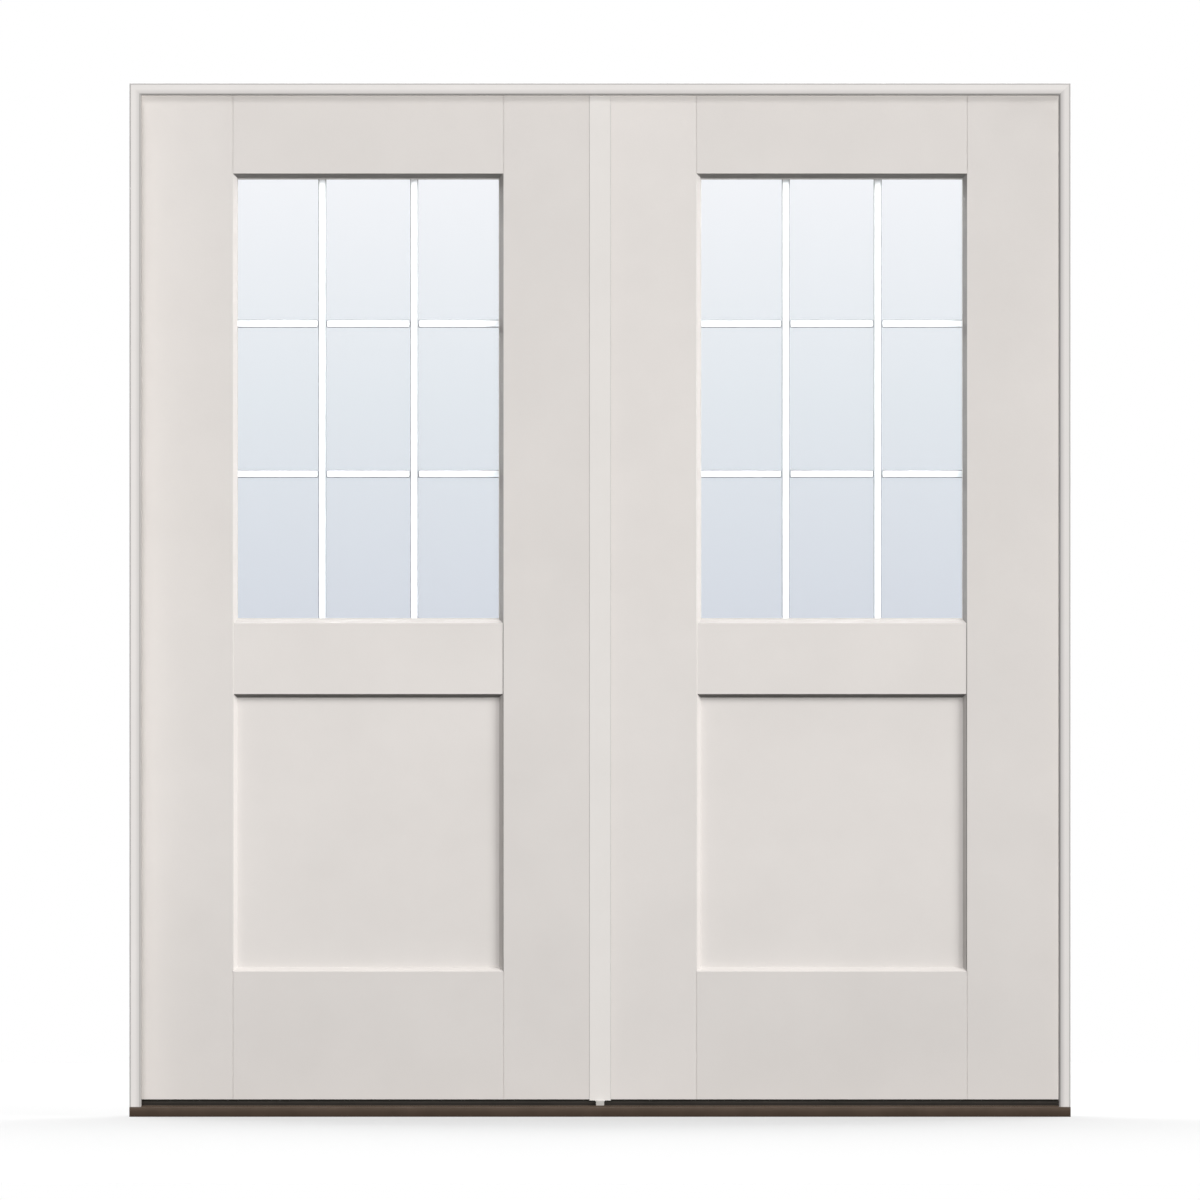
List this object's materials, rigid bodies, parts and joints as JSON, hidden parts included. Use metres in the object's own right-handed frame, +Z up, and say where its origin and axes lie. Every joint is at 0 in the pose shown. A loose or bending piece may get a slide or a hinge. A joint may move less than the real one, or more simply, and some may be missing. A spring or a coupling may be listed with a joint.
{
  "type": "french doors",
  "caption": "Pair of inswing exterior doors in their frame, glazed above a recessed panel, with an astragal, flush bolts, hinges and an outswept sill.",
  "frame": {"origin": "middle of the sill's underside, at the middle of the unit's depth", "axes": "+X to the right seen from outside, +Y into the room, +Z up"},
  "size_m": [1.8796, 0.1558, 2.0638],
  "materials": {
    "frame_paint": "satin paint",
    "door_paint": "smooth satin",
    "astragal_paint": "painted satin",
    "stile_wood": "planed",
    "rail_composite": "moulded",
    "foam": "closed-cell foam",
    "glass": "clear",
    "spacer": "mill",
    "grille_white": "white paint",
    "sill_bronze": "anodised bronze",
    "sill_cap": "ribbed dark",
    "sill_composite": "moulded",
    "seal": "foam-filled seal",
    "sweep": "black vinyl",
    "grey_pad": "soft grey",
    "hinge_steel": "satin nickel",
    "steel": "zinc plated"
  },
  "bodies": {
    "frame": {"jamb_left": "frame_paint", "jamb_right": "frame_paint", "head_jamb": "frame_paint", "sill_core": "sill_composite", "sill_deck": "sill_bronze", "sill_cap": "sill_cap", "sill_cap_screws": "steel", "sill_center_pad": "grey_pad", "corner_pads": "seal", "head_strike": "steel", "weatherstrip_left": "seal", "weatherstrip_right": "seal", "weatherstrip_head": "seal", "frame_corner_screws": "steel", "hinge_pins": "hinge_steel", "hinge_jamb_screws": "steel", "hinge_left_top_jamb_flap": "hinge_steel", "hinge_left_middle_jamb_flap": "hinge_steel", "hinge_left_bottom_jamb_flap": "hinge_steel", "hinge_right_top_jamb_flap": "hinge_steel", "hinge_right_middle_jamb_flap": "hinge_steel", "hinge_right_bottom_jamb_flap": "hinge_steel"},
    "active_leaf": {"right_exterior_skin": "door_paint", "right_interior_skin": "door_paint", "right_hinge_stile": "stile_wood", "right_lock_stile": "stile_wood", "right_top_rail": "rail_composite", "right_bottom_rail": "rail_composite", "right_foam_core": "foam", "right_outer_pane": "glass", "right_inner_pane": "glass", "right_spacer": "spacer", "right_grille": "grille_white", "right_glazing_tape": "seal", "right_sweep": "sweep", "hinge_right_top_leaf_flap": "hinge_steel", "hinge_right_middle_leaf_flap": "hinge_steel", "hinge_right_bottom_leaf_flap": "hinge_steel", "hinge_leaf_screws_right": "steel"},
    "passive_leaf": {"left_exterior_skin": "door_paint", "left_interior_skin": "door_paint", "left_hinge_stile": "stile_wood", "left_lock_stile": "stile_wood", "left_top_rail": "rail_composite", "left_bottom_rail": "rail_composite", "left_foam_core": "foam", "left_outer_pane": "glass", "left_inner_pane": "glass", "left_spacer": "spacer", "left_grille": "grille_white", "left_glazing_tape": "seal", "left_sweep": "sweep", "hinge_left_top_leaf_flap": "hinge_steel", "hinge_left_middle_leaf_flap": "hinge_steel", "hinge_left_bottom_leaf_flap": "hinge_steel", "hinge_leaf_screws_left": "steel", "astragal": "astragal_paint", "astragal_seal": "seal"},
    "top_bolt": {"top_bolt": "steel"},
    "bottom_bolt": {"bottom_bolt": "steel"}
  },
  "joints": [
    {"name": "active_leaf_hinge", "type": "hinge", "parent": "frame", "child": "active_leaf", "pos_m": [0.91916, 0.07155, 1], "axis": [0, 0, -1], "range_deg": [0, 100]},
    {"name": "passive_leaf_hinge", "type": "hinge", "parent": "frame", "child": "passive_leaf", "pos_m": [-0.91916, 0.07155, 1], "axis": [0, 0, 1], "range_deg": [0, 95]},
    {"name": "top_bolt_slide", "type": "slide", "parent": "passive_leaf", "child": "top_bolt", "axis": [0, 0, 1], "range_m": [0, 0.016]},
    {"name": "bottom_bolt_slide", "type": "slide", "parent": "passive_leaf", "child": "bottom_bolt", "axis": [0, 0, -1], "range_m": [0, 0.016]}
  ],
  "couplings": [
    {"joint": "passive_leaf_hinge", "follows": "active_leaf_hinge", "ratio": 0.95}
  ]
}
